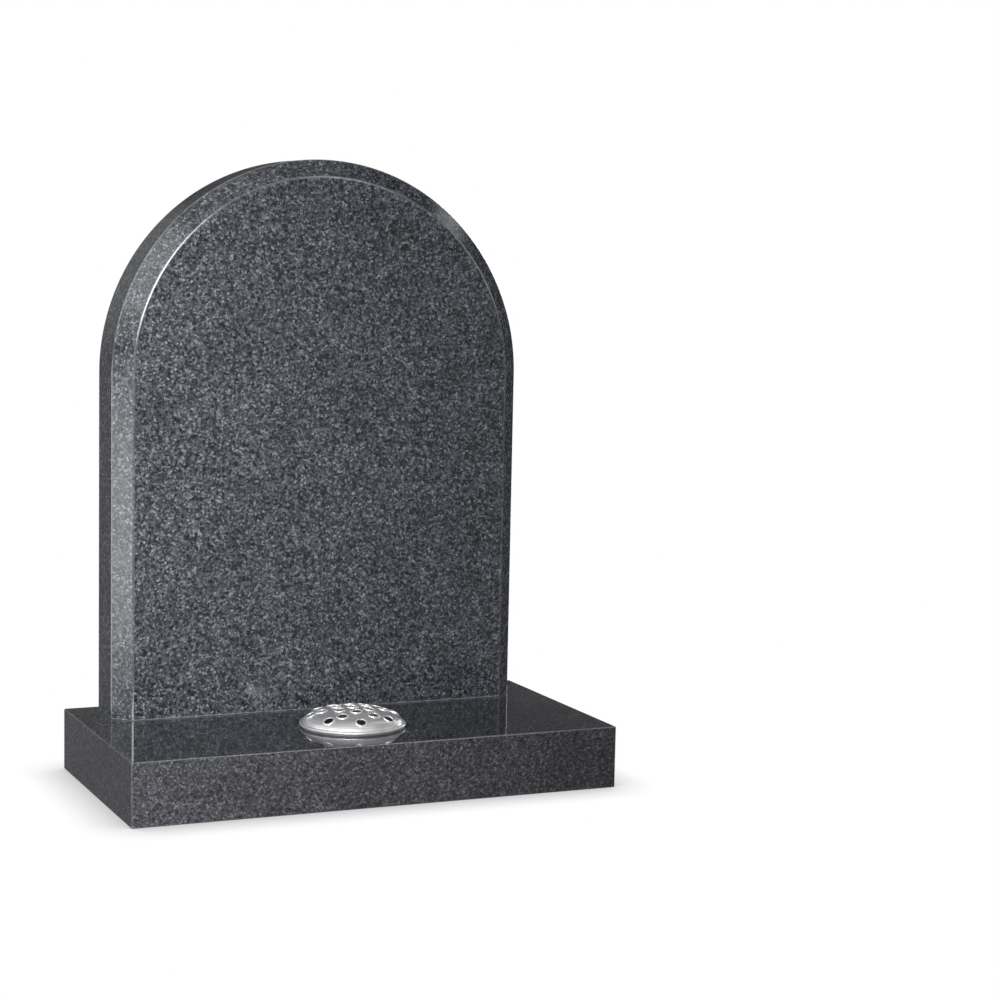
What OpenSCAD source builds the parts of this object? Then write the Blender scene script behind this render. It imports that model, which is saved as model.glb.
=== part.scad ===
// Lawn memorial: a round-topped granite headstone standing on a granite base,
// with an aluminium flower container let into the base and a pierced, domed lid over it.
// Millimetres. +Z is up, the front faces -Y, and the origin is the middle of the base's underside.

/* [Headstone] */
// Width of the headstone, side to side
stone_w = 532; // [400:1:580]
// Height of the headstone above the base
stone_h = 686; // [450:1:1000]
// Thickness of the headstone, front to back
stone_t = 82; // [60:1:110]
// Chamfer round the front face: its width seen from the front
chamfer_across = 21.5; // [8:0.5:40]
// Chamfer round the front face: its depth seen from the side
chamfer_deep = 21; // [8:0.5:40]
// Stone left showing between the headstone's back and the base's back edge
back_margin = 18; // [0:1:40]

/* [Base] */
// Length of the base, side to side
base_w = 610; // [560:1:900]
// Depth of the base, front to back
base_d = 318; // [270:1:460]
// Height of the base
base_h = 76; // [60:1:130]
// Size of the eased arrises of both stones
arris = 1.5; // [0.5:0.1:3]

/* [Flower container] */
// Outer diameter of the container's body
pot_d = 108; // [80:1:112]
// Thickness of the container's wall and bottom
pot_wall = 1.5; // [1:0.1:3]
// Radial clearance between the container and its hole in the base
pot_clearance = 2; // [0.5:0.1:4]
// Height of the container's bottom above the base's underside
pot_lift = 4; // [1:0.5:20]
// Thickness of the flange and of the raised lip on it
flange_t = 1.2; // [0.8:0.1:3]
// Height of the raised lip above the flange
lip_h = 3; // [1:0.1:4]
// Radial clearance between that lip and the bead of the lid
lid_clearance = 0.5; // [0.2:0.1:1.5]

/* [Lid] */
// Diameter of the lid over its rolled bead
lid_d = 130; // [126:1:170]
// Height of the lid at its middle
lid_h = 22; // [18:0.5:32]
// Thickness of the lid
lid_wall = 1.2; // [0.8:0.1:2]
// Radius of curvature of the low crown
crown_r = 170; // [160:1:600]
// Radius of curvature of the shoulder that turns down to the rim
shoulder_r = 24; // [16:1:28]
// Diameter of the rolled bead round the rim
bead_d = 4; // [3:0.1:6]
// Diameter of each flower hole
hole_d = 11; // [6:0.5:12]
// Width of the collar round each hole
collar_wall = 1.8; // [1:0.1:2.5]
// Height that each collar stands proud of the metal
collar_rise = 0.8; // [0.4:0.1:1.5]
// Radius of the ring of holes next to the middle one
inner_ring_r = 21.3; // [18:0.1:24]
// Number of holes in that ring
inner_ring_holes = 6; // [3:1:6]
// Radius of the second ring of holes
middle_ring_r = 38.5; // [34:0.1:41]
// Number of holes in the second ring
middle_ring_holes = 6; // [3:1:9]
// Radius of the outer ring of holes, on the shoulder
outer_ring_r = 52; // [49:0.1:56]
// Number of holes in the outer ring
outer_ring_holes = 8; // [3:1:12]
// Turn of the loose lid about its own axis
lid_turn = -9; // [-180:1:180]

/* [Hidden] */

// Headstone: a half-round head on a straight body
head_r = stone_w / 2;
body_h = stone_h - head_r;
stone_front = base_d / 2 - back_margin - stone_t;

// Container: in the middle of the ledge in front of the headstone
pot_y = (stone_front - base_d / 2) / 2;
pot_r = pot_d / 2;
bead_r = bead_d / 2;
bead_mid_r = lid_d / 2 - bead_r;
flange_r = bead_mid_r + bead_r / 4;
lid_z = base_h + flange_t;

// Lid: the shoulder's arc meets the crown's arc tangentially, at crown_turn from the axis
shoulder_mid_r = lid_d / 2 - shoulder_r;
crown_mid_z = lid_h - crown_r;
crown_turn = asin(shoulder_mid_r / (crown_r - shoulder_r));
shoulder_mid_z = crown_mid_z + (crown_r - shoulder_r) * cos(crown_turn);

// The flange's raised lip clears both the lid's bead and the inside of its shoulder
shoulder_inner_r = shoulder_r - lid_wall;
lid_inner_r = shoulder_mid_r + sqrt(pow(shoulder_inner_r, 2) - pow(lip_h - shoulder_mid_z, 2));
lip_r = min(bead_mid_r - bead_r, lid_inner_r) - lid_clearance;

// Each ring of flower holes: its radius, its number of holes and its turn on the lid
RING_R = 0;
RING_HOLES = 1;
RING_TURN = 2;
hole_rings = [
    [0, 1, 0],
    [inner_ring_r, inner_ring_holes, 0],
    [middle_ring_r, middle_ring_holes, 180 / middle_ring_holes],
    [outer_ring_r, outer_ring_holes, 0],
];

// Number of straight steps along the crown's arc and along the shoulder's
crown_steps = 5;
shoulder_steps = 10;

overrun = 1;
$fn = 96;

// Angle between the lid's axis and its surface's normal, r from the axis
function surface_turn(r) =
    r <= crown_r * sin(crown_turn) ? asin(r / crown_r) : asin((r - shoulder_mid_r) / shoulder_r);

// Height of the lid's outer surface, r from the axis
function surface_z(r) =
    r <= crown_r * sin(crown_turn)
    ? crown_mid_z + crown_r * cos(surface_turn(r))
    : shoulder_mid_z + shoulder_r * cos(surface_turn(r));

// Rectangle about the origin with its corners taken off
module eased_rectangle(w, h) {
    x = w / 2;
    y = h / 2;
    polygon([
        [x - arris, -y], [x, arris - y], [x, y - arris], [x - arris, y],
        [arris - x, y], [-x, y - arris], [-x, arris - y], [arris - x, -y],
    ]);
}

// Block standing on z = 0 with all twelve arrises eased
module eased_block(w, d, h) {
    translate([0, 0, h / 2])
        intersection() {
            linear_extrude(h, center = true) eased_rectangle(w, d);
            rotate([90, 0, 0]) linear_extrude(d, center = true) eased_rectangle(w, h);
            rotate([90, 0, 90]) linear_extrude(w, center = true) eased_rectangle(d, h);
        }
}

// Half of the headstone's section: x out from the middle, y back from the front face
module stone_half_section() {
    polygon([
        [0, 0],
        [head_r - chamfer_across, 0],
        [head_r, chamfer_deep],
        [head_r, stone_t - arris],
        [head_r - arris, stone_t],
        [0, stone_t],
    ]);
}

// Straight body of the headstone, from its foot up to the spring of the head
module stone_body() {
    linear_extrude(body_h) {
        stone_half_section();
        mirror([1, 0]) stone_half_section();
    }
}

// Half-round head: the same section turned about the middle of the arch
module stone_head() {
    rotate([90, 0, 0])
        rotate_extrude(angle = 180, $fn = 240)
            mirror([0, 1]) stone_half_section();
}

module headstone() {
    color([0.27, 0.29, 0.32])
        translate([0, stone_front, base_h]) {
            stone_body();
            translate([0, 0, body_h]) stone_head();
        }
}

module base() {
    color([0.24, 0.26, 0.28])
        difference() {
            eased_block(base_w, base_d, base_h);
            translate([0, pot_y, -overrun])
                cylinder(r = pot_r + pot_clearance, h = base_h + 2 * overrun);
        }
}

// Section of the container: a straight pot with a flange that carries the lid
module pot_section() {
    bottom = pot_lift - base_h;
    difference() {
        translate([0, bottom]) square([pot_r, flange_t - bottom]);
        translate([0, bottom + pot_wall]) square([pot_r - pot_wall, flange_t - bottom]);
    }
    translate([pot_r - pot_wall, 0]) square([flange_r - pot_r + pot_wall, flange_t]);
    translate([lip_r - flange_t, 0]) square([flange_t, flange_t + lip_h]);
}

module flower_container() {
    color("silver")
        translate([0, pot_y, base_h])
            rotate_extrude() pot_section();
}

// Points of the lid's curve, taken in by depth, from the axis out to the bead
function lid_curve(depth) = concat(
    [for (i = [0 : crown_steps]) arc_point([0, crown_mid_z], crown_r - depth, crown_turn * i / crown_steps)],
    [for (i = [1 : shoulder_steps])
        arc_point([shoulder_mid_r, shoulder_mid_z], shoulder_r - depth,
            crown_turn + (rim_turn(depth) - crown_turn) * i / shoulder_steps)]
);

// Point of an arc about mid, at an angle from straight up
function arc_point(mid, r, turn) = mid + r * [sin(turn), cos(turn)];

// Angle from straight up at which the shoulder comes down to the middle of the bead
function rim_turn(depth) = acos((bead_r - shoulder_mid_z) / (shoulder_r - depth));

// Section of the lid: a thin dome that ends in a rolled bead
module lid_section() {
    outside = lid_curve(0);
    inside = lid_curve(lid_wall);
    polygon(concat(outside, [for (i = [len(inside) - 1 : -1 : 0]) inside[i]]));
    translate([bead_mid_r, bead_r]) circle(r = bead_r);
    // A flat rim joins the dome to the bead on a lid that is wide for its height
    rim_r = min(inside[len(inside) - 1][0], bead_mid_r - bead_r / 2);
    translate([rim_r, bead_r - lid_wall / 2]) square([bead_mid_r - rim_r, lid_wall]);
}

// Stands its children on every flower hole, with their z along the surface's normal
module at_each_hole() {
    for (ring = hole_rings, i = [0 : ring[RING_HOLES] - 1])
        rotate(ring[RING_TURN] + i * 360 / ring[RING_HOLES])
            translate([0, -ring[RING_R], surface_z(ring[RING_R])])
                rotate([surface_turn(ring[RING_R]), 0, 0])
                    children();
}

module flower_lid() {
    collar_h = lid_wall + 2 * collar_rise;
    color("silver")
        translate([0, pot_y, lid_z])
            rotate(lid_turn)
                difference() {
                    union() {
                        rotate_extrude() lid_section();
                        at_each_hole()
                            translate([0, 0, collar_rise - collar_h])
                                cylinder(d = hole_d + 2 * collar_wall, h = collar_h, $fn = 48);
                    }
                    at_each_hole()
                        translate([0, 0, -2 * collar_h])
                            cylinder(d = hole_d, h = 4 * collar_h, $fn = 48);
                }
}

headstone();
base();
flower_container();
flower_lid();
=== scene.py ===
import logging
import math
from dataclasses import dataclass, field
from enum import Enum
from typing import Any, Iterable, Sequence

import bmesh
import bpy
from mathutils import Matrix, Vector


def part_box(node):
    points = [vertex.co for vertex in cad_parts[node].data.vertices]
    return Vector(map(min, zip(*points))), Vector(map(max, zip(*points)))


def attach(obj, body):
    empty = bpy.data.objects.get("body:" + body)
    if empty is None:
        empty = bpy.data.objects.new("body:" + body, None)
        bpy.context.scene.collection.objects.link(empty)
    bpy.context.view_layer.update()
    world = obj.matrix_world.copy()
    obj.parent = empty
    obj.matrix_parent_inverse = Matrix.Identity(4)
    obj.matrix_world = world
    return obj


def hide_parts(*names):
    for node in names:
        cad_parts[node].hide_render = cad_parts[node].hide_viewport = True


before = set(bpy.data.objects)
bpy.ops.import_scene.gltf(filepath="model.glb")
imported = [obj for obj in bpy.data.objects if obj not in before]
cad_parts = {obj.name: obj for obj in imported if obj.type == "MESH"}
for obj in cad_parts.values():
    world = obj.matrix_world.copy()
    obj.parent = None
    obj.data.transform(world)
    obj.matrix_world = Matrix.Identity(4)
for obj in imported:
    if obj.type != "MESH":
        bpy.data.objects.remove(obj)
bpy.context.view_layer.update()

log = logging.getLogger("lawn_memorial")

MM = 0.001
ON_AXIS = 1e-7
MOST_OF_EDGE = 0.48
FACES_DOWN = -0.9
OVERHEAD = 1e-4
WHITE = (1.0, 1.0, 1.0, 1.0)
ROOT_BODY = "root"

Point = tuple[float, float]
Value = Any


class StoneFace(Enum):
    """Which material a face of the stone takes: its finish as left by the mason, or a lighter copy as painted
    highlight on the eased edges and along the foot; the value is its material's place on the mesh.
    """

    POLISHED = 0
    SAWN = 1
    ARRIS = 2
    JOINT = 3


# --------------------------------------------------------------------------------------
# Node trees
# --------------------------------------------------------------------------------------


class Wire:
    """An output socket that takes part in Python arithmetic by adding Math nodes."""

    def __init__(self, graph: "Graph", socket: bpy.types.NodeSocket) -> None:
        """Wraps one socket.

        Args:
            graph: The graph that the socket belongs to.
            socket: The output socket.
        """
        self.graph = graph
        self.socket = socket

    def _math(self, operation: str, first: Value, second: Value = None) -> "Wire":
        """Adds one Math node.

        Args:
            operation: The node's operation.
            first: Its first value or wire.
            second: Its second value or wire, if it has one.

        Returns:
            The node's output.
        """
        inputs = {0: first} if second is None else {0: first, 1: second}
        return self.graph.add("ShaderNodeMath", {"operation": operation}, inputs)

    def __add__(self, other: Value) -> "Wire":
        """Sum."""
        return self._math("ADD", self, other)

    __radd__ = __add__

    def __sub__(self, other: Value) -> "Wire":
        """Difference."""
        return self._math("SUBTRACT", self, other)

    def __rsub__(self, other: Value) -> "Wire":
        """Difference from a number."""
        return self._math("SUBTRACT", other, self)

    def __mul__(self, other: Value) -> "Wire":
        """Product."""
        return self._math("MULTIPLY", self, other)

    __rmul__ = __mul__

    def __truediv__(self, other: Value) -> "Wire":
        """Quotient."""
        return self._math("DIVIDE", self, other)

    def __rtruediv__(self, other: Value) -> "Wire":
        """Quotient of a number by this."""
        return self._math("DIVIDE", other, self)

    def __neg__(self) -> "Wire":
        """The opposite number."""
        return self._math("MULTIPLY", self, -1.0)

    def __abs__(self) -> "Wire":
        """The size without its sign."""
        return self._math("ABSOLUTE", self)

    def sine(self) -> "Wire":
        """The sine of an angle in radians."""
        return self._math("SINE", self)

    def cosine(self) -> "Wire":
        """The cosine of an angle in radians."""
        return self._math("COSINE", self)

    def arcsine(self) -> "Wire":
        """The angle in radians that has this sine."""
        return self._math("ARCSINE", self)

    def arccosine(self) -> "Wire":
        """The angle in radians that has this cosine."""
        return self._math("ARCCOSINE", self)

    def root(self) -> "Wire":
        """The square root."""
        return self._math("SQRT", self)

    def at_most(self, limit: float) -> "Wire":
        """This, or the limit where that is less."""
        return self._math("MINIMUM", self, limit)

    def at_least(self, limit: float) -> "Wire":
        """This, or the limit where that is more."""
        return self._math("MAXIMUM", self, limit)

    def fade(self, start: float, end: float, low: float = 0.0, high: float = 1.0) -> "Wire":
        """Eases from one value to another.

        Args:
            start: Where the easing starts.
            end: Where it ends.
            low: The value up to start.
            high: The value from end on.

        Returns:
            The eased value.
        """
        return self.graph.add(
            "ShaderNodeMapRange",
            {"interpolation_type": "SMOOTHSTEP"},
            {"Value": self, "From Min": start, "From Max": end, "To Min": low, "To Max": high},
        )


class Graph:
    """A node tree that is written from Python, for a material, a world or Geometry Nodes."""

    def __init__(self, tree: bpy.types.NodeTree) -> None:
        """Takes a tree and empties it.

        Args:
            tree: The tree to write in.
        """
        self.tree = tree
        tree.nodes.clear()

    def add(
        self,
        kind: str,
        settings: dict[str, Value] | None = None,
        inputs: dict[str | int, Value] | None = None,
        out: str | int = 0,
    ) -> Wire:
        """Adds a node.

        Args:
            kind: The node's type.
            settings: Its settings, which are set first; stops are a ramp's places and colours.
            inputs: The values or wires of its sockets, by name or number. A list links several.
            out: The name or number of the output that is wanted.

        Returns:
            That output.
        """
        node = self.tree.nodes.new(kind)
        for name, value in (settings or {}).items():
            if name == "stops":
                self._set_stops(node.color_ramp, value)
            else:
                setattr(node, name, value)
        for key, value in (inputs or {}).items():
            for one in value if isinstance(value, list) else [value]:
                if isinstance(one, Wire):
                    self.tree.links.new(one.socket, node.inputs[key])
                else:
                    node.inputs[key].default_value = one
        return Wire(self, node.outputs[out]) if node.outputs else Wire(self, None)

    @staticmethod
    def _set_stops(ramp: bpy.types.ColorRamp, stops: Sequence[tuple[float, Sequence[float]]]) -> None:
        """Sets a ramp's stops.

        Args:
            ramp: The ramp.
            stops: Each stop's place and its colour.
        """
        while len(ramp.elements) < len(stops):
            ramp.elements.new(1.0)
        for element, (place, colour) in zip(ramp.elements, stops):
            element.position = place
            element.color = (*colour, 1.0)

    def mix(self, share: Value, first: Value, second: Value, kind: str = "MIX") -> Wire:
        """Mixes two colours.

        Args:
            share: The share of the second colour.
            first: The first colour or wire.
            second: The second colour or wire.
            kind: The way they are mixed.

        Returns:
            The mixed colour.
        """
        settings = {"data_type": "RGBA", "blend_type": kind}
        return self.add("ShaderNodeMix", settings, {0: share, 6: first, 7: second}, 2)

    def vector(self, operation: str, first: Value, second: Value = None, scale: Value = None) -> Wire:
        """Adds one Vector Math node.

        Args:
            operation: The node's operation.
            first: Its first vector.
            second: Its second vector, if it has one.
            scale: Its scale, if it has one.

        Returns:
            The node's result, which is a vector, or a number for a length or a dot product.
        """
        inputs: dict[str | int, Value] = {0: first}
        if second is not None:
            inputs[1] = second
        if scale is not None:
            inputs["Scale"] = scale
        out = "Value" if operation in ("LENGTH", "DOT_PRODUCT", "DISTANCE") else "Vector"
        return self.add("ShaderNodeVectorMath", {"operation": operation}, inputs, out)

    def parts(self, vector: Wire) -> tuple[Wire, Wire, Wire]:
        """Splits a vector.

        Args:
            vector: The vector.

        Returns:
            Its x, y and z.
        """
        node = self.add("ShaderNodeSeparateXYZ", None, {0: vector}).socket.node
        return tuple(Wire(self, socket) for socket in node.outputs)

    def joined(self, x: Value, y: Value, z: Value) -> Wire:
        """The vector of three numbers."""
        return self.add("ShaderNodeCombineXYZ", None, {0: x, 1: y, 2: z})

    def bump(self, relief: Wire) -> Wire:
        """The surface's normal, tilted by a relief in metres."""
        inputs = {"Strength": 1.0, "Distance": 1.0, "Height": relief}
        return self.add("ShaderNodeBump", None, inputs, "Normal")

    def finish_with(self, inputs: dict[str | int, Value]) -> None:
        """Ends a material.

        Args:
            inputs: The values and wires of its shader's sockets.
        """
        shader = self.add("ShaderNodeBsdfPrincipled", None, inputs)
        self.add("ShaderNodeOutputMaterial", None, {"Surface": shader})


def new_material(name: str) -> tuple[bpy.types.Material, Graph]:
    """Makes an empty material.

    Args:
        name: Its name.

    Returns:
        The material and the graph of its nodes.
    """
    material = bpy.data.materials.new(name)
    material.use_nodes = True
    return material, Graph(material.node_tree)


# --------------------------------------------------------------------------------------
# Finishes
# --------------------------------------------------------------------------------------


@dataclass(frozen=True)
class Granite:
    """Fine-grained dark grey granite: black, blue-grey and pale crystals packed together."""

    name: str
    tint: tuple[float, float, float] = (0.95, 0.98, 1.04)
    brightness: float = 1.0
    contrast: float = 1.0
    mean_tone: float = 0.085
    crystal: float = 2.35 * MM
    fleck: float = 3.4 * MM
    fleck_share: float = 0.16
    cloud: float = 70 * MM
    cloud_depth: float = 0.10
    roughness: float = 0.035
    refraction: float = 1.5
    crystal_relief: float = 0.002 * MM
    saw_relief: float = 0.0
    wanders_per_crystal: float = 0.6
    wander_reach: float = 0.75
    fleck_colour: tuple[float, float, float, float] = (0.010, 0.012, 0.012, 1.0)
    fleck_edge: float = 0.02
    fleck_cover: float = 0.8
    fleck_offset: tuple[float, float, float] = (0.31, 0.17, 0.53)
    veins_per_crystal: float = 3.0
    vein_depth: float = 0.28
    vein_fineness: float = 0.6
    gloss_spread: float = 0.015
    least_roughness: float = 0.02
    grit_per_metre: float = 900.0
    saw_marks_per_metre: float = 480.0

    def material(self) -> bpy.types.Material:
        """Makes the stone's material.

        Returns:
            The material, whose pattern lies in the stone and so runs on round its edges.
        """
        material, g = new_material(self.name)
        place = g.add("ShaderNodeTexCoord", None, None, "Object")
        wander = self._noise(g, place, self.wanders_per_crystal / self.crystal, 2.0, "Color")
        wander = g.vector("SUBTRACT", wander, (0.5, 0.5, 0.5))
        ragged = g.vector("ADD", place, g.vector("SCALE", wander, scale=self.wander_reach * self.crystal))

        shade, second, third = self._cells(g, ragged, self.crystal)
        colour = g.add("ShaderNodeValToRGB", {"stops": self._crystal_colours()}, {0: shade})
        black, _, _ = self._cells(g, g.vector("ADD", ragged, self.fleck_offset), self.fleck)
        black = black.fade(self.fleck_share - self.fleck_edge, self.fleck_share + self.fleck_edge, 1.0, 0.0)
        colour = g.mix(black * (self.fleck_cover * self.contrast), colour, self.fleck_colour)

        cleavage = g.add(
            "ShaderNodeTexNoise",
            None,
            {
                "Vector": place,
                "Scale": self.veins_per_crystal / self.crystal,
                "Detail": 2.0,
                "Roughness": self.vein_fineness,
            },
            "Fac",
        ).fade(0.3, 0.7, 1 - self.vein_depth, 1 + self.vein_depth)
        drift = self._noise(g, place, 1 / self.cloud, 2.0)
        drift = drift.fade(0.3, 0.7, 1 - self.cloud_depth, 1 + self.cloud_depth)
        level = cleavage * drift * self.brightness
        colour = g.vector("MULTIPLY", colour, g.joined(*(level * part for part in self.tint)))

        gloss = (second - 0.5) * self.gloss_spread + self.roughness + black * self.gloss_spread
        relief = third * self.crystal_relief
        if self.saw_relief:
            grit = self._noise(g, place, self.grit_per_metre, 3.0)
            marks = self._noise(g, place, self.saw_marks_per_metre, 1.0)
            relief = relief + (grit + marks * 0.5) * self.saw_relief
        finish = {
            "Base Color": colour,
            "Roughness": gloss.at_least(self.least_roughness),
            "IOR": self.refraction,
            "Normal": g.bump(relief),
        }
        g.finish_with(finish)
        return material

    @staticmethod
    def _noise(g: Graph, place: Wire, scale: float, detail: float, out: str = "Fac") -> Wire:
        """Adds soft noise.

        Args:
            g: The material's graph.
            place: Where the noise is read.
            scale: Its waves per metre.
            detail: Its number of finer layers.
            out: The output that is wanted.

        Returns:
            The noise.
        """
        return g.add("ShaderNodeTexNoise", None, {"Vector": place, "Scale": scale, "Detail": detail}, out)

    @staticmethod
    def _cells(g: Graph, place: Wire, size: float) -> tuple[Wire, Wire, Wire]:
        """Divides the stone into crystals.

        Args:
            g: The material's graph.
            place: Where the crystals are read.
            size: About how far apart they lie.

        Returns:
            Three random numbers, each the same all over one crystal.
        """
        crystals = {"Vector": place, "Scale": 1 / size, "Randomness": 1.0}
        return g.parts(g.add("ShaderNodeTexVoronoi", None, crystals, "Color"))

    def _crystal_colours(self) -> list[tuple[float, tuple[float, ...]]]:
        """Works out the ramp of the crystals' colours.

        Returns:
            The share of the crystals up to each stop, and its colour at this stone's contrast.
        """
        stops = [
            (0.00, (0.020, 0.022, 0.024)),
            (0.25, (0.036, 0.039, 0.043)),
            (0.50, (0.066, 0.070, 0.078)),
            (0.75, (0.108, 0.113, 0.126)),
            (0.92, (0.180, 0.186, 0.200)),
            (1.00, (0.300, 0.305, 0.315)),
        ]
        return [
            (place, tuple(self.mean_tone + (part - self.mean_tone) * self.contrast for part in colour))
            for place, colour in stops
        ]


@dataclass(frozen=True)
class SpunAluminium:
    """Sheet aluminium that was turned on a lathe, so that fine rings run round its axis."""

    name: str
    axis_x: float
    axis_y: float
    colour: tuple[float, float, float] = (0.83, 0.83, 0.84)
    roughness: float = 0.30
    metallic: float = 0.75
    ring_pitch: float = 2.6 * MM
    ring_relief: float = 0.14 * MM
    streak: float = 0.60
    ring_roughness: float = 0.16
    tarnish: float = 0.16
    tarnish_colour: tuple[float, float, float, float] = (0.50, 0.50, 0.51, 1.0)
    streak_colour: tuple[float, float, float, float] = (0.42, 0.42, 0.43, 1.0)
    broad_share: float = 0.16
    patches_per_metre: float = 90.0
    patch_roughness: float = 0.06
    broad_roughness: float = 0.08
    least_roughness: float = 0.08

    def material(self) -> bpy.types.Material:
        """Makes the metal's material.

        Returns:
            The material, with its rings about the given axis.
        """
        material, g = new_material(self.name)
        place = g.add("ShaderNodeTexCoord", None, None, "Object")
        x, y, z = g.parts(place)
        across, along = x - self.axis_x, y - self.axis_y
        ring = (across * across + along * along).root() - z
        lines = g.joined(ring * (1 / self.ring_pitch), 0.0, 0.0)
        bands = g.joined(ring * (self.broad_share / self.ring_pitch), 0.7, 0.0)
        layers = ((lines, 1.0, 3.0), (bands, 1.0, 1.0), (place, self.patches_per_metre, 3.0))
        fine, broad, patch = (
            g.add("ShaderNodeTexNoise", None, {"Vector": where, "Scale": scale, "Detail": detail}, "Fac")
            for where, scale, detail in layers
        )
        dull = patch.fade(0.35, 0.75)
        colour = g.mix(dull * self.tarnish, (*self.colour, 1.0), self.tarnish_colour)
        colour = g.mix(fine.fade(0.35, 0.65) * self.streak, colour, self.streak_colour)
        gloss = self.roughness + (fine - 0.5) * self.ring_roughness
        gloss = gloss + dull * self.patch_roughness + (broad - 0.5) * self.broad_roughness
        finish = {
            "Base Color": colour,
            "Metallic": self.metallic,
            "Roughness": gloss.at_least(self.least_roughness),
            "Normal": g.bump((fine + broad * 2.0) * self.ring_relief),
        }
        g.finish_with(finish)
        return material


# --------------------------------------------------------------------------------------
# Meshes
# --------------------------------------------------------------------------------------


def mesh_object(
    name: str, corners: Sequence[Sequence[float]], faces: Iterable[Sequence[int]]
) -> bpy.types.Object:
    """Makes a mesh object at the origin, with its faces outwards.

    Args:
        name: The object's name.
        corners: The places of its vertices.
        faces: The vertices of each face.

    Returns:
        The object, in the scene.
    """
    mesh = bpy.data.meshes.new(name)
    mesh.from_pydata([tuple(corner) for corner in corners], [], [list(face) for face in faces])
    built = bmesh.new()
    built.from_mesh(mesh)
    bmesh.ops.recalc_face_normals(built, faces=built.faces)
    built.to_mesh(mesh)
    built.free()
    mesh.shade_smooth()
    made = bpy.data.objects.new(name, mesh)
    bpy.context.scene.collection.objects.link(made)
    return made


def settle(piece: bpy.types.Object) -> None:
    """Turns a piece with modifiers into a plain mesh.

    Args:
        piece: The piece, whose modifiers are then gone.
    """
    shaped = piece.evaluated_get(bpy.context.evaluated_depsgraph_get())
    mesh = bpy.data.meshes.new_from_object(shaped)
    mesh.name = piece.name
    piece.modifiers.clear()
    piece.data = mesh


def hand_over(piece: bpy.types.Object, node: str) -> None:
    """Sets a finished piece in place of its solid and reports it.

    Args:
        piece: The finished piece.
        node: The solid that it stands for.
    """
    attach(piece, ROOT_BODY)
    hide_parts(node)
    low, high = (Vector(f(v.co[i] for v in piece.data.vertices) for i in range(3)) for f in (min, max))
    triangles = sum(len(face.vertices) - 2 for face in piece.data.polygons)
    size = " x ".join(f"{side / MM:.1f}" for side in high - low)
    log.info("%s: %s mm, %d triangles", piece.name, size, triangles)


def arc(middle: Point, radius: float, start: float, end: float, steps: int) -> list[Point]:
    """Points on an arc.

    Args:
        middle: The arc's middle.
        radius: Its radius.
        start: The angle of its first point from straight up, towards +x, in radians.
        end: The angle of its last point.
        steps: The number of steps between them.

    Returns:
        The points.
    """
    angles = (start + (end - start) * i / steps for i in range(steps + 1))
    return [(middle[0] + radius * math.sin(a), middle[1] + radius * math.cos(a)) for a in angles]


def rounded(corners: Sequence[Point], radius: float, steps: int = 4, closed: bool = True) -> list[Point]:
    """Rounds the corners of a section.

    Args:
        corners: The section's corners.
        radius: The most that a corner is rounded by.
        steps: The number of steps round each corner.
        closed: False for an open section, whose two ends stay as they are.

    Returns:
        The rounded section.
    """
    points: list[Point] = []
    count = len(corners)
    for i, corner in enumerate(corners):
        if not closed and i in (0, count - 1):
            points.append(corner)
            continue
        here = Vector(corner)
        before, after = Vector(corners[i - 1]) - here, Vector(corners[(i + 1) % count]) - here
        half = before.angle(after) / 2
        most = MOST_OF_EDGE * min(before.length, after.length)
        reach = min(radius / math.tan(half), most)
        start, end = here + before.normalized() * reach, here + after.normalized() * reach
        for k in range(steps + 1):
            t = k / steps
            spot = start * (1 - t) ** 2 + here * 2 * t * (1 - t) + end * t**2
            points.append((spot.x, spot.y))
    return points


def turned(
    section: Sequence[Point], segments: int, closed: bool
) -> tuple[list[tuple[float, float, float]], list[list[int]]]:
    """Turns a section about the z axis.

    Args:
        section: Points of radius and height. An open one starts and ends on the axis.
        segments: The number of steps round the axis.
        closed: True for a ring, whose last point joins its first.

    Returns:
        The vertices and the faces.
    """
    corners: list[tuple[float, float, float]] = []
    rings: list[list[int]] = []
    for radius, height in section:
        if radius < ON_AXIS:
            rings.append([len(corners)] * segments)
            corners.append((0.0, 0.0, height))
            continue
        rings.append([len(corners) + i for i in range(segments)])
        for i in range(segments):
            turn = 2 * math.pi * i / segments
            corners.append((radius * math.cos(turn), radius * math.sin(turn), height))
    faces = []
    pairs = list(zip(rings, rings[1:]))
    if closed:
        pairs.append((rings[-1], rings[0]))
    for lower, upper in pairs:
        for i in range(segments):
            j = (i + 1) % segments
            face = [lower[i], lower[j], upper[j], upper[i]]
            faces.append(list(dict.fromkeys(face)))
    return corners, faces


def ease_edges(piece: bpy.types.Object, width: float, weights: dict[tuple[int, int], float]) -> None:
    """Rounds chosen edges of a piece and makes the result its mesh.

    Args:
        piece: The piece.
        width: How far the rounding reaches over each face where the weight is 1.
        weights: The weight of each edge, by its two vertices, the lower first.
    """
    layer = piece.data.attributes.new("bevel_weight_edge", "FLOAT", "EDGE")
    for edge in piece.data.edges:
        layer.data[edge.index].value = weights.get(tuple(sorted(edge.vertices)), 0.0)
    bevel = piece.modifiers.new("eased edges", "BEVEL")
    bevel.limit_method = "WEIGHT"
    bevel.offset_type = "OFFSET"
    bevel.width = width
    bevel.segments = 4
    bevel.harden_normals = True
    # The rounded faces take the arris material, a lighter granite copy that paints a highlight along every
    # eased edge.
    bevel.material = StoneFace.ARRIS.value
    bevel.use_clamp_overlap = False
    settle(piece)


# --------------------------------------------------------------------------------------
# Stones
# --------------------------------------------------------------------------------------


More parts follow.
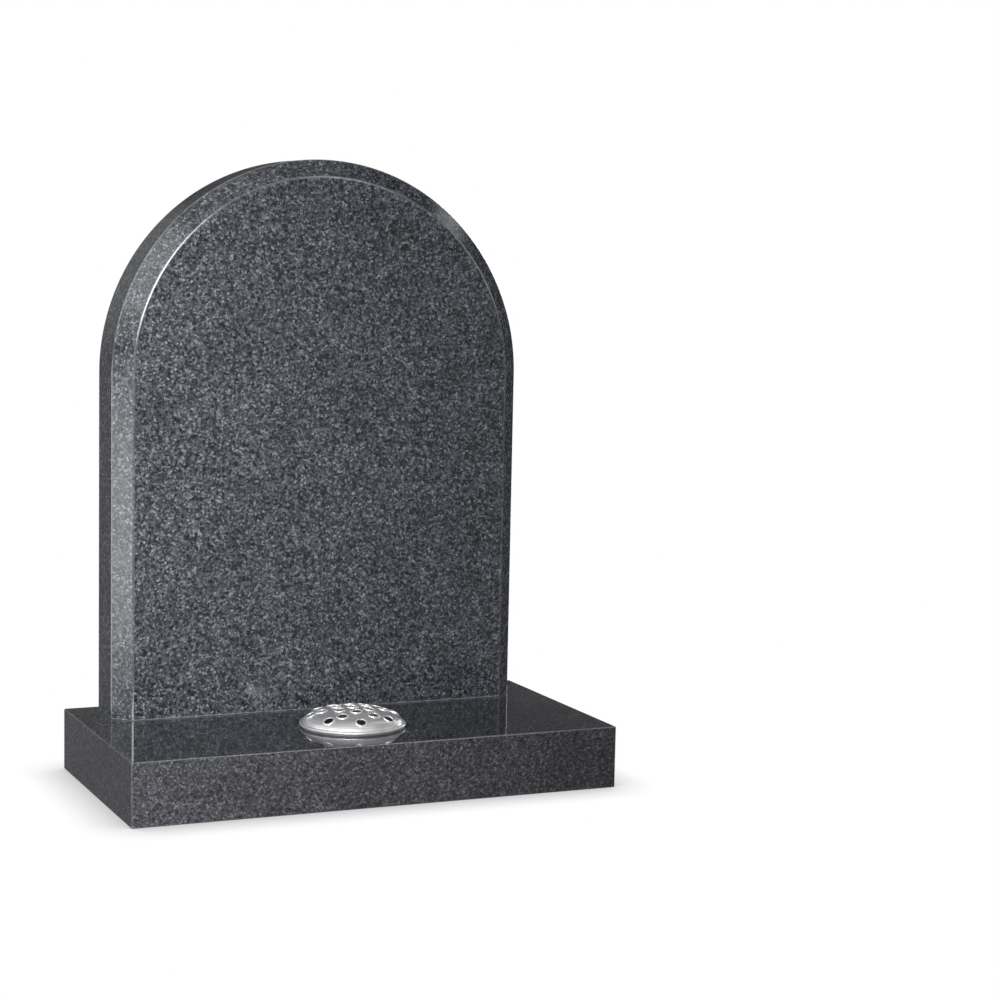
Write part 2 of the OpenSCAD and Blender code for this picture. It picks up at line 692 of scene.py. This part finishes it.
@dataclass
class Headstone:
    """The upright stone: a straight body under a half-round head, chamfered round its front face."""

    low: Vector
    high: Vector
    polished: bpy.types.Material
    sawn: bpy.types.Material
    arris_painted_highlight: bpy.types.Material
    foot_painted_highlight: bpy.types.Material
    chamfer_across: float = 21.5 * MM
    chamfer_deep: float = 21 * MM
    arris: float = 1.5 * MM
    front_arris_weight: float = 1.2
    chamfer_arris_weight: float = 1.0
    foot_arris_weight: float = 0.9
    back_arris_weight: float = 1.0
    head_steps: int = 240

    def outline(self, inset: float) -> list[Point]:
        """The stone's outline from its left foot over the head to its right foot.

        Args:
            inset: How far inside the stone's edge it lies.

        Returns:
            Its points, x and z.
        """
        radius = (self.high.x - self.low.x) / 2
        middle = ((self.high.x + self.low.x) / 2, self.high.z - radius)
        head = arc(middle, radius - inset, -math.pi / 2, math.pi / 2, self.head_steps)
        return [(head[0][0], self.low.z), *head, (head[-1][0], self.low.z)]

    def build(self) -> bpy.types.Object:
        """Builds the stone and dresses it.

        Returns:
            The finished piece.
        """
        section = [
            (self.chamfer_across, self.low.y),
            (0.0, self.low.y + self.chamfer_deep),
            (0.0, self.high.y),
        ]
        weights = (self.front_arris_weight, self.chamfer_arris_weight, self.back_arris_weight)
        corners: list[tuple[float, float, float]] = []
        loops: list[list[int]] = []
        for inset, y in section:
            outline = self.outline(inset)
            loops.append([len(corners) + i for i in range(len(outline))])
            corners += [(x, y, z) for x, z in outline]
        faces = [loops[0], loops[-1]]
        for front, back in zip(loops, loops[1:]):
            faces += [[front[i], front[i + 1], back[i + 1], back[i]] for i in range(len(front) - 1)]
        foot = [loop[0] for loop in loops] + [loop[-1] for loop in reversed(loops)]
        faces.append(foot)
        piece = mesh_object("headstone_stone", corners, faces)
        for finish in (self.polished, self.sawn, self.arris_painted_highlight):
            piece.data.materials.append(finish)
        for face in piece.data.polygons:
            if face.normal.z < FACES_DOWN:
                face.material_index = StoneFace.SAWN.value
        eased: dict[tuple[int, int], float] = {}
        for loop, weight in zip(loops, weights):
            eased.update({(a, b): weight for a, b in zip(loop, loop[1:])})
        for a, b in zip(foot, foot[1:] + foot[:1]):
            eased[tuple(sorted((a, b)))] = self.foot_arris_weight
        ease_edges(piece, self.arris, eased)
        # The rounding at the stone's foot takes a much lighter granite copy: painted highlight along the
        # foot.
        piece.data.materials.append(self.foot_painted_highlight)
        for face in piece.data.polygons:
            if face.material_index == StoneFace.ARRIS.value and face.center.z < self.low.z + self.arris:
                face.material_index = StoneFace.JOINT.value
        hand_over(piece, "headstone")
        return piece


@dataclass
class BaseBlock:
    """The flat stone underneath, with a round hole through it for the flower container."""

    low: Vector
    high: Vector
    hole_middle: Point
    polished: bpy.types.Material
    sawn: bpy.types.Material
    arris_painted_highlight: bpy.types.Material
    hole_radius: float = 56 * MM
    arris: float = 1.5 * MM
    hole_arris_weight: float = 0.4
    hole_steps: int = 96
    first_turn: float = 0.004

    def _edge_point(self, turn: float) -> Point:
        """The point on the block's outline in one direction from the hole's middle.

        Args:
            turn: The direction, in radians.

        Returns:
            The point.
        """
        ahead, aside = math.cos(turn), math.sin(turn)
        reaches = [
            (bound - start) / step
            for start, step, bounds in (
                (self.hole_middle[0], ahead, (self.low.x, self.high.x)),
                (self.hole_middle[1], aside, (self.low.y, self.high.y)),
            )
            if abs(step) > 1e-9
            for bound in bounds
            if (bound - start) / step > 0
        ]
        reach = min(reaches)
        return self.hole_middle[0] + ahead * reach, self.hole_middle[1] + aside * reach

    def build(self) -> bpy.types.Object:
        """Builds the block and dresses it.

        Returns:
            The finished piece.
        """
        block_corners = [
            math.atan2(y - self.hole_middle[1], x - self.hole_middle[0])
            for x in (self.low.x, self.high.x)
            for y in (self.low.y, self.high.y)
        ]
        steps = range(self.hole_steps)
        spread = [math.pi * (2 * i / self.hole_steps - 1) + self.first_turn for i in steps]
        turns = sorted(spread + block_corners)
        corners: list[tuple[float, float, float]] = []
        for z in (self.low.z, self.high.z):
            corners += [(*self._edge_point(turn), z) for turn in turns]
            corners += [
                (
                    self.hole_middle[0] + self.hole_radius * math.cos(turn),
                    self.hole_middle[1] + self.hole_radius * math.sin(turn),
                    z,
                )
                for turn in turns
            ]
        count = len(turns)
        loops = [[k * count + i for i in range(count)] for k in range(4)]
        under, under_hole, top, top_hole = loops
        faces = []
        pairs = ((under, under_hole), (top, top_hole), (under, top), (under_hole, top_hole))
        for first, second in pairs:
            for i in range(count):
                j = (i + 1) % count
                faces.append([first[i], first[j], second[j], second[i]])
        piece = mesh_object("base_stone", corners, faces)
        for finish in (self.polished, self.sawn, self.arris_painted_highlight):
            piece.data.materials.append(finish)
        for face in piece.data.polygons:
            inside = all(v % (2 * count) >= count for v in face.vertices)
            if face.normal.z < FACES_DOWN or inside:
                face.material_index = StoneFace.SAWN.value
        eased: dict[tuple[int, int], float] = {}
        for loop, weight in zip(loops, (1.0, self.hole_arris_weight, 1.0, self.hole_arris_weight)):
            eased.update({tuple(sorted((a, b))): weight for a, b in zip(loop, loop[1:] + loop[:1])})
        for turn in block_corners:
            i = turns.index(turn)
            eased[(under[i], top[i])] = 1.0
        ease_edges(piece, self.arris, eased)
        hand_over(piece, "base")
        return piece


# --------------------------------------------------------------------------------------
# Flower container and its lid
# --------------------------------------------------------------------------------------


@dataclass
class FlowerContainer:
    """The pot in the base's hole, which hangs by a flange; a low lip on it centres the lid."""

    low: Vector
    high: Vector
    axis: Point
    rest_z: float
    metal: bpy.types.Material
    pot_radius: float = 54 * MM
    wall: float = 1.5 * MM
    flange: float = 1.2 * MM
    lip_inside: float = 59.3 * MM
    foot_round: float = 5 * MM
    edge_round: float = 0.5 * MM
    foot_steps: int = 6
    edge_steps: int = 3
    straight: float = 3 * MM
    sharp_from: float = 50.0
    turn_steps: int = 160

    def build(self) -> bpy.types.Object:
        """Builds the pot and dresses it.

        Returns:
            The finished piece.
        """
        bottom, flange_top, lip_top = self.low.z, self.rest_z + self.flange, self.high.z
        outer, inner = self.pot_radius, self.pot_radius - self.wall
        rim, lip_outside = (self.high.x - self.low.x) / 2, self.lip_inside + self.flange
        neck, throat = self.rest_z - self.straight, flange_top - self.straight
        foot = [(0.0, bottom), (outer, bottom), (outer, neck)]
        foot = rounded(foot, self.foot_round, self.foot_steps, False)
        upper = rounded(
            [
                (outer, neck),
                (outer, self.rest_z),
                (rim, self.rest_z),
                (rim, flange_top),
                (lip_outside, flange_top),
                (lip_outside, lip_top),
                (self.lip_inside, lip_top),
                (self.lip_inside, flange_top),
                (inner, flange_top),
                (inner, throat),
            ],
            self.edge_round,
            self.edge_steps,
            False,
        )
        inside = [(inner, throat), (inner, bottom + self.wall), (0.0, bottom + self.wall)]
        inside = rounded(inside, self.foot_round - self.wall, self.foot_steps, False)
        corners, faces = turned(foot[:-1] + upper + inside[1:], self.turn_steps, False)
        corners = [(x + self.axis[0], y + self.axis[1], z) for x, y, z in corners]
        piece = mesh_object("flower_container_pot", corners, faces)
        # The pot's metal is darkened: painted shade seen through the lid's holes and under its bead.
        piece.data.materials.append(self.metal)
        piece.data.set_sharp_from_angle(angle=math.radians(self.sharp_from))
        hand_over(piece, "flower_container")
        return piece


@dataclass(frozen=True)
class HoleRing:
    """One ring of flower holes in the lid."""

    name: str
    radius: float
    holes: int
    turn: float


@dataclass
class FlowerLid:
    """The loose lid: a spun dome with a rolled bead, pierced by rings of collared holes."""

    low: Vector
    high: Vector
    axis: Point
    metal: bpy.types.Material
    collar_highlight_metal: bpy.types.Material
    wall: float = 1.2 * MM
    crown_radius: float = 170 * MM
    shoulder_radius: float = 24 * MM
    bead_radius: float = 2 * MM
    height: float = 22 * MM
    hole: float = 11 * MM
    collar_width: float = 2.1 * MM
    collar_rise: float = 1.0 * MM
    collar_round: float = 0.7 * MM
    lid_turn: float = math.radians(-9)
    groove_pitch: float = 2.6 * MM
    groove_depth: float = 0.20 * MM
    groove_start: float = math.radians(50)
    groove_ease: float = 2 * MM
    turn_steps: int = 192
    crown_steps: int = 26
    grooved_steps: int = 96
    plain_steps: int = 24
    bead_steps: int = 28
    hole_steps: int = 48
    bead_clearance: float = 1.02
    collar_bite: float = 0.25
    cutter_length: float = 14 * MM
    drop_height: float = 0.1
    collar_lift: float = 6 * MM
    collar_fall: float = 20 * MM
    rings: list[HoleRing] = field(
        default_factory=lambda: [
            HoleRing("middle", 0.0, 1, 0.0),
            HoleRing("inner", 21.3 * MM, 6, 0.0),
            HoleRing("second", 38.5 * MM, 6, math.radians(30)),
            HoleRing("outer", 52 * MM, 8, 0.0),
        ]
    )

    def _curve(self, depth: float) -> list[Point]:
        """The dome's curve from its axis to the bead.

        Args:
            depth: How far under the outer surface it lies.

        Returns:
            Its points, with the fine grooves of the rim zone on the outer one.
        """
        rim = (self.high.x - self.low.x) / 2
        shoulder_mid = rim - self.shoulder_radius
        crown_mid = self.height - self.crown_radius
        bend = math.asin(shoulder_mid / (self.crown_radius - self.shoulder_radius))
        shoulder_z = crown_mid + (self.crown_radius - self.shoulder_radius) * math.cos(bend)
        end = math.acos((self.bead_radius - shoulder_z) / (self.shoulder_radius - depth))
        crown = arc((0.0, crown_mid), self.crown_radius - depth, 0.0, bend, self.crown_steps)
        steps = self.grooved_steps if depth == 0 else self.plain_steps
        points = crown[:-1]
        for i in range(steps + 1):
            turn = bend + (end - bend) * i / steps
            sunk = 0.0
            if depth == 0 and turn > self.groove_start:
                run = (turn - self.groove_start) * self.shoulder_radius
                ease = min(1.0, run / self.groove_ease)
                wave = 0.5 - 0.5 * math.cos(2 * math.pi * run / self.groove_pitch)
                sunk = self.groove_depth * ease * wave
            radius = self.shoulder_radius - depth - sunk
            points.append((shoulder_mid + radius * math.sin(turn), shoulder_z + radius * math.cos(turn)))
        return points

    def _section(self) -> list[Point]:
        """Draws the lid's whole section.

        Returns:
            Its points, over the dome, round the bead and back under the dome.
        """
        middle = Vector(((self.high.x - self.low.x) / 2 - self.bead_radius, self.bead_radius))

        def clear(point: Point) -> bool:
            """True for a point outside the bead."""
            return (Vector(point) - middle).length > self.bead_clearance * self.bead_radius

        def bearing(point: Point) -> float:
            """The angle of a point about the bead's middle, from straight up."""
            away = Vector(point) - middle
            return math.atan2(away.x, away.y)

        outside = [point for point in self._curve(0.0) if clear(point)]
        inside = [point for point in self._curve(self.wall) if clear(point)]
        start, end = bearing(outside[-1]), bearing(inside[-1])
        if end < start:
            end += 2 * math.pi
        bead = arc((middle.x, middle.y), self.bead_radius, start, end, self.bead_steps)
        return outside + bead + inside[::-1]

    def _collar(self) -> bpy.types.Object:
        """Makes the pattern that every hole's collar is copied from.

        Returns:
            One flat collar about the z axis, with each vertex's height kept as its rise.
        """
        radius = self.hole / 2
        under = -0.5 * self.wall
        section = rounded(
            [
                (radius + self.collar_width, under),
                (radius + self.collar_width, self.collar_rise),
                (radius, self.collar_rise),
                (radius, under),
            ],
            self.collar_round,
        )
        corners, faces = turned(section, self.hole_steps, True)
        collar = mesh_object("collar_pattern", corners, faces)
        mark = collar.data.attributes.new("on_collar", "BOOLEAN", "POINT")
        mark.data.foreach_set("value", [True] * len(corners))
        rise = collar.data.attributes.new("rise", "FLOAT", "POINT")
        rise.data.foreach_set("value", [corner[2] for corner in corners])
        for vertex in collar.data.vertices:
            vertex.co.z = 0.0
        return collar

    def _pierce_tree(self) -> bpy.types.NodeTree:
        """The Geometry Nodes tree that pierces the dome and sets a collar round every hole.

        Returns:
            The tree, whose inputs are the hole's and the collar's sizes and every ring's.
        """
        tree = bpy.data.node_groups.new("pierce and collar the lid", "GeometryNodeTree")
        g = Graph(tree)
        sockets = {
            "Dome": "Geometry",
            "Collar": "Object",
            "Hole radius": "Float",
            "Cutter length": "Float",
            "Place": "Vector",
            "Turn": "Vector",
            "Metal": "Material",
            "Collar metal": "Material",
        }
        for ring in self.rings:
            sockets[f"{ring.name} radius"] = sockets[f"{ring.name} turn"] = "Float"
            sockets[f"{ring.name} holes"] = "Int"
        for name, kind in sockets.items():
            tree.interface.new_socket(name, in_out="INPUT", socket_type=f"NodeSocket{kind}")
        tree.interface.new_socket("Lid", in_out="OUTPUT", socket_type="NodeSocketGeometry")
        entry = tree.nodes.new("NodeGroupInput")
        given = {socket.name: Wire(g, socket) for socket in entry.outputs if socket.name}
        dome = given["Dome"]

        index = g.add("GeometryNodeInputIndex")
        rows = []
        for ring in self.rings:
            radius, holes, turn = (given[f"{ring.name} {size}"] for size in ("radius", "holes", "turn"))
            bearing = turn + index * (2 * math.pi) / holes
            spot = g.joined(bearing.sine() * radius, -(bearing.cosine() * radius), self.drop_height)
            rows.append(g.add("GeometryNodePoints", None, {"Count": holes, "Position": spot}))
        marks = g.add("GeometryNodeJoinGeometry", None, {0: rows})

        normal = g.add("GeometryNodeInputNormal")
        drop = g.add(
            "GeometryNodeRaycast",
            {"data_type": "FLOAT_VECTOR"},
            {"Target Geometry": dome, "Attribute": normal, "Ray Direction": (0.0, 0.0, -1.0)},
            "Hit Position",
        )
        lean = g.vector("NORMALIZE", Wire(g, drop.socket.node.outputs["Attribute"]))
        marks = g.add(
            "GeometryNodeStoreNamedAttribute",
            {"data_type": "FLOAT_VECTOR", "domain": "POINT"},
            {"Geometry": marks, "Name": "hole_axis", "Value": lean},
        )
        marks = g.add("GeometryNodeSetPosition", None, {"Geometry": marks, "Position": drop})
        axis, rise, collared = (
            g.add("GeometryNodeInputNamedAttribute", {"data_type": kind}, {"Name": name}, "Attribute")
            for name, kind in (("hole_axis", "FLOAT_VECTOR"), ("rise", "FLOAT"), ("on_collar", "BOOLEAN"))
        )
        stand = g.add("FunctionNodeAlignRotationToVector", {"axis": "Z"}, {"Vector": axis})

        size = {"Vertices": self.hole_steps, "Radius": given["Hole radius"], "Depth": given["Cutter length"]}
        cutter = g.add("GeometryNodeMeshCylinder", None, size)
        pattern = g.add("GeometryNodeObjectInfo", None, {"Object": given["Collar"]}, "Geometry")

        def on_every_hole(one: Wire) -> Wire:
            """Sets a copy of one shape on every hole."""
            copies = {"Points": marks, "Instance": one, "Rotation": stand}
            copies = g.add("GeometryNodeInstanceOnPoints", None, copies)
            return g.add("GeometryNodeRealizeInstances", None, {0: copies})

        cutters, collars = on_every_hole(cutter), on_every_hole(pattern)
        cut = g.add(
            "GeometryNodeMeshBoolean",
            {"operation": "DIFFERENCE", "solver": "EXACT"},
            {"Mesh 1": dome, "Mesh 2": cutters},
        )
        edges = Wire(g, cut.socket.node.outputs["Intersecting Edges"])
        cut = g.add("GeometryNodeSetShadeSmooth", {"domain": "FACE"}, {"Geometry": cut, "Shade Smooth": True})
        cut = g.add(
            "GeometryNodeSetShadeSmooth",
            {"domain": "EDGE"},
            {"Geometry": cut, "Selection": edges, "Shade Smooth": False},
        )

        here = g.add("GeometryNodeInputPosition")
        landing = g.add(
            "GeometryNodeRaycast",
            None,
            {
                "Target Geometry": dome,
                "Source Position": g.vector("ADD", here, g.vector("SCALE", axis, scale=self.collar_lift)),
                "Ray Direction": g.vector("SCALE", axis, scale=-1.0),
                "Ray Length": self.collar_fall,
            },
            "Hit Position",
        )
        landed = Wire(g, landing.socket.node.outputs["Is Hit"])
        settled = g.vector("ADD", landing, g.vector("SCALE", axis, scale=rise))
        moved = {"Geometry": collars, "Selection": landed, "Position": settled}
        collars = g.add("GeometryNodeSetPosition", None, moved)
        smooth = {"Geometry": collars, "Shade Smooth": True}
        collars = g.add("GeometryNodeSetShadeSmooth", {"domain": "FACE"}, smooth)

        lid = g.add("GeometryNodeJoinGeometry", None, {0: [cut, collars]})
        lid = g.add(
            "GeometryNodeTransform",
            None,
            {"Geometry": lid, "Translation": given["Place"], "Rotation": given["Turn"]},
        )
        lid = g.add("GeometryNodeRealizeInstances", None, {0: lid})
        lid = g.add("GeometryNodeSetMaterial", None, {"Geometry": lid, "Material": given["Metal"]})
        # The collars take the lighter metal: painted highlight round the holes.
        lid = g.add(
            "GeometryNodeSetMaterial",
            None,
            {"Geometry": lid, "Selection": collared, "Material": given["Collar metal"]},
        )
        g.add("NodeGroupOutput", None, {"Lid": lid})
        return tree

    def build(self) -> bpy.types.Object:
        """Builds the lid and dresses it.

        Returns:
            The finished piece.
        """
        corners, faces = turned(self._section(), self.turn_steps, False)
        piece = mesh_object("flower_lid_dome", corners, faces)
        collar = self._collar()
        pierce = piece.modifiers.new("pierced and collared", "NODES")
        pierce.node_group = self._pierce_tree()
        values: dict[str, Value] = {
            "Collar": collar,
            "Hole radius": self.hole / 2 + self.collar_bite * self.collar_width,
            "Cutter length": self.cutter_length,
            "Place": (self.axis[0], self.axis[1], self.low.z),
            "Turn": (0.0, 0.0, self.lid_turn),
            "Metal": self.metal,
            "Collar metal": self.collar_highlight_metal,
        }
        for ring in self.rings:
            values |= {f"{ring.name} {size}": getattr(ring, size) for size in ("radius", "holes", "turn")}
        for item in pierce.node_group.interface.items_tree:
            if item.in_out == "INPUT" and item.name in values:
                pierce[item.identifier] = values[item.name]
        settle(piece)
        for spent in ("hole_axis", "rise", "on_collar"):
            if spent in piece.data.attributes:
                piece.data.attributes.remove(piece.data.attributes[spent])
        bpy.data.objects.remove(collar)
        hand_over(piece, "flower_lid")
        return piece


# --------------------------------------------------------------------------------------
# Studio
# --------------------------------------------------------------------------------------


@dataclass(frozen=True)
class Glow:
    """A soft patch of light far away, by its bearing from -Y towards +X and its height, in degrees."""

    name: str
    bearing: float
    height: float
    half_width: float
    half_height: float
    soft: float
    radiance: float


@dataclass(frozen=True)
class SoftLamp:
    """A large soft lamp: its place as for a Glow, its distance and size in metres, and its spread."""

    name: str
    bearing: float
    height: float
    distance: float
    width: float
    depth: float
    spread: float
    radiance: float
    aim: tuple[float, float, float]

    def hang(self, lit: bpy.types.Object | None = None) -> None:
        """Hangs the lamp.

        Args:
            lit: The only piece that it lights, or None where it lights them all.
        """
        light = bpy.data.lights.new(self.name, "AREA")
        light.shape = "RECTANGLE"
        light.size, light.size_y = self.width, self.depth
        light.spread = math.radians(self.spread)
        light.energy = self.radiance * math.pi * self.width * self.depth
        lamp = bpy.data.objects.new(self.name, light)
        bearing, height = math.radians(self.bearing), math.radians(self.height)
        level = math.cos(height)
        away = Vector((math.sin(bearing) * level, -math.cos(bearing) * level, math.sin(height)))
        lamp.location = Vector(self.aim) + away * self.distance
        lamp.rotation_euler = (-away).to_track_quat("-Z", "Y").to_euler()
        lamp.visible_camera = False
        lamp.visible_glossy = False
        bpy.context.scene.collection.objects.link(lamp)
        if lit:
            chosen = bpy.data.collections.new(f"lit by {self.name}")
            chosen.objects.link(lit)
            lamp.light_linking.receiver_collection = chosen


@dataclass
class Studio:
    """A white floor in a white room, with large soft lamps and, for mirrors only, soft patches of light."""

    key: SoftLamp = SoftLamp(
        "key",
        bearing=-14.0,
        height=15.0,
        distance=2.0,
        width=0.8,
        depth=1.2,
        spread=56.0,
        radiance=3.6,
        aim=(-0.60, 0.05, 0.46),
    )
    side: SoftLamp = SoftLamp(
        "side",
        bearing=72.0,
        height=10.0,
        distance=2.2,
        width=1.0,
        depth=1.0,
        spread=180.0,
        radiance=2.6,
        aim=(0.0, 0.1, 0.4),
    )
    back: SoftLamp = SoftLamp(
        "back",
        bearing=165.0,
        height=12.0,
        distance=2.2,
        width=1.2,
        depth=1.2,
        spread=180.0,
        radiance=7.0,
        aim=(0.0, 0.1, 0.4),
    )
    small: SoftLamp = SoftLamp(
        "lid lamp",
        bearing=-30.0,
        height=40.0,
        distance=1.2,
        width=0.7,
        depth=0.7,
        spread=180.0,
        radiance=6.0,
        aim=(0.0, -0.05, 0.09),
    )
    ambient: float = 0.08
    camera_place: tuple[float, float, float] = (-0.97592, -2.62765, 0.66142)
    camera_yaw: float = 24.355
    camera_pitch: float = 6.333
    camera_roll: float = 1.199
    camera_lens: float = 82.68
    floor_half: float = 20.0
    shadow_reach: float = 0.06
    shadow_depth: float = 0.80
    shadow_samples: int = 4
    seen_from: float = 0.05
    seen_to: float = 200.0
    glows: list[Glow] = field(
        default_factory=lambda: [
            Glow(
                "strip on the low left",
                bearing=-73, height=-7, half_width=7, half_height=3,
                soft=2, radiance=3.2,
            ),
            Glow(
                "haze round that strip",
                bearing=-73, height=-4, half_width=9, half_height=9,
                soft=3, radiance=1.0,
            ),
            Glow(
                "long window on the left",
                bearing=-75, height=29, half_width=62, half_height=20,
                soft=6, radiance=1.5,
            ),
            Glow(
                "tall pane on the left",
                bearing=-71, height=37, half_width=6, half_height=18,
                soft=5, radiance=1.3,
            ),
            Glow(
                "low pane at the back left",
                bearing=-120, height=-6, half_width=18, half_height=7,
                soft=4, radiance=2.5,
            ),
            Glow(
                "softbox in front",
                bearing=-25, height=20, half_width=20, half_height=12,
                soft=5, radiance=7.0,
            ),
            Glow(
                "high bank in front",
                bearing=-20, height=66, half_width=70, half_height=18,
                soft=10, radiance=0.4,
            ),
            Glow(
                "high bank behind",
                bearing=170, height=45, half_width=60, half_height=16,
                soft=4, radiance=0.8,
            ),
            Glow(
                "window on the right",
                bearing=71, height=20, half_width=9, half_height=12,
                soft=4, radiance=1.6,
            ),
            Glow(
                "pane on the front right",
                bearing=28, height=34, half_width=8, half_height=18,
                soft=5, radiance=1.5,
            ),
            Glow(
                "spot on the right",
                bearing=107, height=31, half_width=5, half_height=4,
                soft=4, radiance=1.2,
            ),
            Glow(
                "window at the back right",
                bearing=133, height=12, half_width=14, half_height=6,
                soft=3, radiance=9.0,
            ),
            Glow(
                "faint pane behind",
                bearing=191, height=13, half_width=14, half_height=9,
                soft=5, radiance=0.16,
            ),
            Glow(
                "faint floor on the back left",
                bearing=-165, height=-7, half_width=16, half_height=16,
                soft=8, radiance=0.09,
            ),
            Glow(
                "faint floor on the front right",
                bearing=20, height=-4, half_width=22, half_height=14,
                soft=8, radiance=0.2,
            ),
            Glow(
                "ceiling",
                bearing=0, height=80, half_width=180, half_height=20,
                soft=10, radiance=0.3,
            ),
        ]
    )

    def build(self, lid: bpy.types.Object) -> None:
        """Sets up the floor, the lights and the camera.

        Args:
            lid: The lid, which has a lamp of its own.
        """
        bpy.context.scene.view_settings.view_transform = "Standard"
        self._floor()
        self._room()
        for lamp in (self.key, self.side, self.back):
            lamp.hang()
        self.small.hang(lid)
        self._camera()

    def _floor(self) -> None:
        """Lays the floor, which darkens only where the stones stand close to it."""
        half = self.floor_half
        corners = [(-half, -half, 0.0), (half, -half, 0.0), (half, half, 0.0), (-half, half, 0.0)]
        floor = mesh_object("floor", corners, [(0, 1, 2, 3)])
        material, g = new_material("white floor")
        reach = {"Distance": self.shadow_reach}
        nearness = g.add("ShaderNodeAmbientOcclusion", {"samples": self.shadow_samples}, reach, "AO")
        tone = 1 - (1 - nearness) * self.shadow_depth
        shader = g.add("ShaderNodeEmission", None, {"Color": WHITE, "Strength": tone})
        g.add("ShaderNodeOutputMaterial", None, {"Surface": shader})
        floor.data.materials.append(material)
        floor.visible_diffuse = False
        floor.visible_glossy = False
        floor.visible_shadow = False

    def _room(self) -> None:
        """Makes the room: white behind the object, and dim with soft patches all round it."""
        world = bpy.data.worlds.new("studio room")
        bpy.context.scene.world = world
        world.use_nodes = True
        g = Graph(world.node_tree)
        x, y, z = g.parts(g.add("ShaderNodeTexCoord", None, None, "Generated"))
        level = (x * x + y * y).root().at_least(OVERHEAD)
        rise = z.at_most(1.0).at_least(-1.0).arcsine()
        light: Value = self.ambient
        for glow in self.glows:
            bearing, soft = math.radians(glow.bearing), math.radians(glow.soft)
            facing = (x * math.sin(bearing) - y * math.cos(bearing)) / level
            turn = facing.at_most(1.0).at_least(-1.0).arccosine()
            off = abs(rise - math.radians(glow.height))
            wide, tall = math.radians(glow.half_width), math.radians(glow.half_height)
            across = turn.fade(wide - soft, wide + soft, 1.0, 0.0)
            upright = off.fade(tall - soft, tall + soft, 1.0, 0.0)
            light = across * upright * glow.radiance + light
        mirrored = g.add("ShaderNodeLightPath", None, None, "Is Glossy Ray")
        light = (light - self.ambient) * mirrored + self.ambient
        around = g.add("ShaderNodeBackground", None, {"Color": WHITE, "Strength": light})
        behind = g.add("ShaderNodeBackground", None, {"Color": WHITE, "Strength": 1.0})
        seen = g.add("ShaderNodeLightPath", None, None, "Is Camera Ray")
        room = g.add("ShaderNodeMixShader", None, {0: seen, 1: around, 2: behind})
        g.add("ShaderNodeOutputWorld", None, {"Surface": room})

    def _camera(self) -> None:
        """Sets up the camera."""
        lens = bpy.data.cameras.new("camera")
        lens.lens = self.camera_lens
        lens.clip_start, lens.clip_end = self.seen_from, self.seen_to
        camera = bpy.data.objects.new("camera", lens)
        yaw, pitch, roll = (math.radians(a) for a in (self.camera_yaw, self.camera_pitch, self.camera_roll))
        ahead = Vector((math.sin(yaw) * math.cos(pitch), math.cos(yaw) * math.cos(pitch), -math.sin(pitch)))
        right = Vector((math.cos(yaw), -math.sin(yaw), 0.0))
        up = right.cross(ahead)
        side = math.cos(roll) * right + math.sin(roll) * up
        top = -math.sin(roll) * right + math.cos(roll) * up
        turn = Matrix((side, top, -ahead)).transposed().to_4x4()
        camera.matrix_world = Matrix.Translation(self.camera_place) @ turn
        bpy.context.scene.collection.objects.link(camera)
        bpy.context.scene.camera = camera


def main() -> None:
    """Builds the memorial's four pieces and the studio."""
    logging.basicConfig(level=logging.INFO, format="%(name)s: %(message)s")
    polished = Granite("polished dark grey granite", contrast=0.93).material()
    sawn = Granite(
        "sawn dark grey granite", brightness=1.7, roughness=0.5, saw_relief=0.05 * MM
    ).material()
    # A lighter, less contrasty granite copy with a higher refraction for the eased edges: painted highlight
    # along the arrises.
    arris_painted_highlight = Granite(
        "rubbed granite arris",
        brightness=1.4,
        contrast=0.4,
        roughness=0.10,
        refraction=2.1,
        crystal_relief=0.004 * MM,
    ).material()
    # A much lighter granite copy for the foot's rounded edge: painted highlight along the stone's foot, where
    # the rounding lies in shade.
    foot_painted_highlight = Granite(
        "stone dust in the foot joint", brightness=3.4, contrast=0.25, roughness=0.6
    ).material()
    block = Granite(
        "polished granite of the base",
        tint=(1.0, 0.985, 1.04),
        contrast=0.68,
        crystal=2.05 * MM,
        fleck=3.0 * MM,
    ).material()

    lid_low, lid_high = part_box("flower_lid")
    axis = ((lid_low.x + lid_high.x) / 2, (lid_low.y + lid_high.y) / 2)
    metal = SpunAluminium("spun satin aluminium", *axis).material()
    # A near-white, clean, glossier copy of the lid's metal for the collars: painted highlight round the
    # holes.
    collar_painted_highlight = SpunAluminium(
        "bright edge of the collars",
        *axis,
        colour=(0.96, 0.96, 0.96),
        roughness=0.22,
        streak=0.0,
        tarnish=0.0,
    ).material()
    # A dark, rough copy of the lid's metal for the pot: painted shade inside the holes and under the lid's
    # bead.
    dull = SpunAluminium("dull aluminium", *axis, colour=(0.30, 0.30, 0.31), roughness=0.5).material()

    stone_low, stone_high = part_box("headstone")
    base_low, base_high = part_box("base")
    Headstone(stone_low, stone_high, polished, sawn, arris_painted_highlight, foot_painted_highlight).build()
    BaseBlock(base_low, base_high, axis, block, sawn, arris_painted_highlight).build()
    pot_low, pot_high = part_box("flower_container")
    FlowerContainer(pot_low, pot_high, axis, base_high.z, dull).build()
    lid = FlowerLid(lid_low, lid_high, axis, metal, collar_painted_highlight).build()
    Studio().build(lid)


if __name__ == "__main__":
    main()
